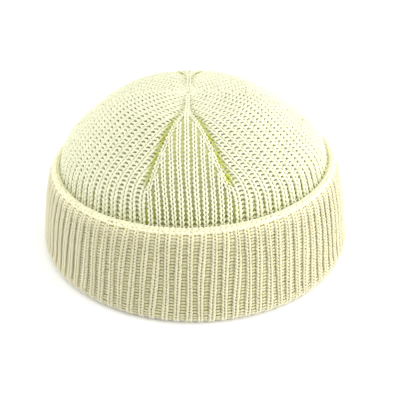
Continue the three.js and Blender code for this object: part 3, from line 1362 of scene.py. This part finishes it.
@dataclass
class Cuff:
    """The turned-up layer with its fold, its ribs and its rolled rim."""

    form: Form
    columns: int = 376
    crest_depth: float = 1.3
    groove_depth: float = 2.15
    fold_length: float = 12.0
    # Painted light: how much paler the cuff's yarn grows just below the rim, which faces up into the light.
    rim_painted_light: float = 14.0
    loop_lift: float = -0.2
    sectors: int = 4
    seed: int = 31

    def build(self) -> None:
        """Builds and dresses the ground and the yarn of the cuff."""
        # The cuff's yarn is a darker, yellower copy of the crown's yarn: painted shade for its upright wall,
        # with painted shade in its depths too.
        finish = YarnFinish("cuff_yarn_shaded", (0.64, 0.60, 0.365), (0.655, 0.605, 0.28), sheen=1.0)
        yarn = finish.material()
        self.cloth = CuffCloth(self.form)
        # The ground's dark colour is painted shade in the gaps between the ribs.
        ground = GroundFinish("cuff_ground", (0.58, 0.54, 0.19)).material()
        dress(self.ground(), "cuff", ground)
        for sector in range(self.sectors):
            dress(self.sector_yarn(sector), "cuff", yarn)
        # The rim's yarn is a paler copy of the yarn: painted light on the rim, which faces up into the light,
        # with painted shade in its depths.
        edge = YarnFinish("rim_yarn_painted_light", colour=(0.86, 0.84, 0.57), mid_shade_colour=(0.76, 0.74, 0.42))
        dress(self.rim(), "cuff", edge.material())

    def ground(self) -> bpy.types.Object:
        """The wall under the stitches, spun in one piece and then pressed into ribs."""
        form = self.form
        profile = self.cloth.profile
        lengths = np.linspace(0, profile.total, 60)
        rows = np.stack(profile.at(lengths), axis=1)
        outer = [(r - self.crest_depth * out, h - self.crest_depth * up) for r, h, out, up in rows]
        inset = form.cuff_wall - 0.4
        inner = [(r - inset, h) for r, h in form.cuff_section()[:-1]]
        piece = spun("cuff_ground", [*outer, *inner[::-1], outer[0]], self.columns)
        points = points_of(piece)
        section = np.stack([np.hypot(points[:, 0], points[:, 1]), points[:, 2]], axis=1)
        corners = np.array([*outer, *inner])
        nearest = nearest_corners(section, corners)
        on_face = nearest < len(rows)
        row = rows[np.minimum(nearest, len(rows) - 1)]
        share = np.clip(section[:, 1] / form.cuff_height, 0, 1)
        azimuth = np.arctan2(points[:, 1], points[:, 0])
        rib = (np.degrees(azimuth) + 90 + form.rib_lean * (1 - share)) / 360 * form.rib_count
        along = lengths[np.minimum(nearest, len(rows) - 1)]
        swell = eased(along, profile.total - 17, profile.total - 6)
        swell = np.maximum(swell, 0.7 * (1 - eased(along, self.fold_length, self.fold_length + 6)))
        valley = groove(rib) * (1 - swell)
        sunk = np.where(on_face, (self.groove_depth - self.crest_depth) * valley, 0)
        reach = section[:, 0] - sunk * row[:, 2]
        points[:, 0] = reach * np.cos(azimuth) + form.rim_shift * share
        points[:, 1] = reach * np.sin(azimuth)
        points[:, 2] = section[:, 1] - sunk * row[:, 3] + form.rim_tilt * share * np.cos(azimuth)
        move_points(piece, points)
        # Painted shade: the ground's dark colour shows all over, with no crease green.
        mark(piece.data, outer=np.ones(len(points)), crease=np.zeros(len(points)))
        return piece

    def sector_yarn(self, sector: int) -> bpy.types.Object:
        """Lays the stitches of one stretch of the cuff.

        Args:
            sector: Which stretch it is.

        Returns:
            The stretch's yarn.
        """
        cloth, knit = self.cloth, CUFF_KNIT
        leg = Strand.modelled(knit.leg, sides=5)
        hem_leg = Strand.modelled(HEM_LEG, sides=5)
        rung = Strand.modelled(knit.rung, sides=4, across=True)
        stitches = Stitches(cloth_wall=self.form.cuff_wall, seed=self.seed + sector)
        bounds = np.linspace(0, self.form.rib_count, self.sectors + 1).round().astype(int)
        ribs = np.arange(bounds[sector], bounds[sector + 1]).astype(float)
        lengths = np.arange(cloth.course * 0.5, cloth.rim_lengths[0] - cloth.course * 0.4, cloth.course)
        rib, along = (grid.ravel() for grid in np.meshgrid(ribs, lengths, indexing="ij"))
        folded = along < self.fold_length
        to_rim = cloth.rim_lengths[0] - along
        # Painted light: the yarn grows paler towards the rim.
        pale = self.rim_painted_light * (1 - eased(to_rim, -1, 8))
        for wall_leg, fold_leg in ((leg, hem_leg), (leg.mirrored(), hem_leg.mirrored())):
            wall = ~folded
            stitches.lay(wall_leg, cloth, rib[wall], along[wall], knit.rib_lift, paler=pale[wall])
            stitches.lay(fold_leg, cloth, rib[folded], along[folded], knit.rib_lift)
        filled = 1 - eased(to_rim, 0, knit.rung_fade) * eased(along, self.fold_length, self.fold_length + 6)
        lift = mix(knit.groove_lift, knit.rim_lift, filled)
        stitches.lay(rung, cloth, rib, along + cloth.course / 2, lift, paler=pale)
        return stitches.piece(f"cuff_yarn_shaded_{sector}")

    def rim(self) -> bpy.types.Object:
        """Lays the chain of small loops that closes the edge of the knit over the rolled rim."""
        cloth = self.cloth
        stitches = Stitches(cloth_wall=self.form.cuff_wall, seed=self.seed + 9)
        loop = Strand.modelled(LOOP, sides=6, across=True)
        ribs = np.arange(0, self.form.rib_count, 0.5)
        start, end = cloth.rim_lengths[0], cloth.rim_lengths[-1]
        for number, along in enumerate(np.arange(start - 0.2, end, 1.15)):
            turned = loop if number % 2 else loop.mirrored()
            shift = 0.0 if number % 2 else 0.5
            stitches.lay(turned, cloth, ribs + shift, np.full(len(ribs), along), self.loop_lift, wander=0.07)
        return stitches.piece("cuff_rim")


@dataclass
class Studio:
    """The plain pale floor, the soft light and the camera."""

    camera_place: Place = (2.7, -328.4, 221.6)
    camera_elevation: float = 31.89
    lens: float = 56.7
    floor_size: float = 6000.0
    aim: Place = (0, 0, 40)

    def build(self) -> None:
        """Builds the floor, the lights and the camera."""
        self._floor()
        self._light()
        self._camera()

    def _floor(self) -> None:
        """Lays the floor."""
        bpy.ops.object.select_all(action="DESELECT")
        bpy.ops.mesh.primitive_plane_add(size=self.floor_size * MM)
        floor = bpy.context.object
        floor.name = "floor"
        paint = bpy.data.materials.new("floor_paint")
        paint.use_nodes = True
        shader = paint.node_tree.nodes["Principled BSDF"]
        shader.inputs["Base Color"].default_value = (0.95, 0.95, 0.95, 1)
        shader.inputs["Roughness"].default_value = 0.9
        shader.inputs["Specular IOR Level"].default_value = 0.1
        floor.data.materials.append(paint)

    def _light(self) -> None:
        """Hangs the soft lights and sets the pale surroundings."""
        world = bpy.data.worlds.new("surroundings")
        world.use_nodes = True
        sky = world.node_tree.nodes["Background"]
        sky.inputs["Color"].default_value = (1, 1, 1, 1)
        sky.inputs["Strength"].default_value = 1.0
        bpy.context.scene.world = world
        self._lamp("top_light", (600, -250, 1500), 1500, 10.0)
        self._lamp("right_light", (1350, -360, 60), 900, 24.0)
        self._lamp("left_light", (-1250, 420, 50), 700, 14.5)

    def _lamp(self, name: str, place: Place, size: float, power: float) -> None:
        """Hangs one square lamp.

        Args:
            name: The lamp's name.
            place: Where it hangs.
            size: Length of its side.
            power: Its power in watts.
        """
        lamp = bpy.data.lights.new(name, "AREA")
        lamp.size = size * MM
        lamp.energy = power
        hung = bpy.data.objects.new(name, lamp)
        start, end = np.array(place), np.array(self.aim)
        hung.location = start * MM
        away = start - end
        hung.rotation_euler = (
            math.atan2(math.hypot(away[0], away[1]), away[2]),
            0,
            math.atan2(away[0], -away[1]),
        )
        bpy.context.scene.collection.objects.link(hung)

    def _camera(self) -> None:
        """Sets the camera at the height and angle of the reference view."""
        camera = bpy.data.cameras.new("camera")
        camera.lens = self.lens
        camera.sensor_width = 36
        camera.clip_end = 20
        held = bpy.data.objects.new("camera", camera)
        held.location = np.array(self.camera_place) * MM
        held.rotation_euler = (math.radians(90 - self.camera_elevation), 0, 0)
        bpy.context.scene.collection.objects.link(held)
        bpy.context.scene.camera = held
        bpy.context.scene.view_settings.view_transform = "Standard"


def main() -> None:
    """Builds the hat and the studio, and keeps the size of both models."""
    logging.basicConfig(level=logging.INFO, format="%(name)s: %(message)s")
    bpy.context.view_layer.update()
    form = Form()
    Cuff(form).build()
    Crown(form).build()
    Studio().build()


if __name__ == "__main__":
    main()
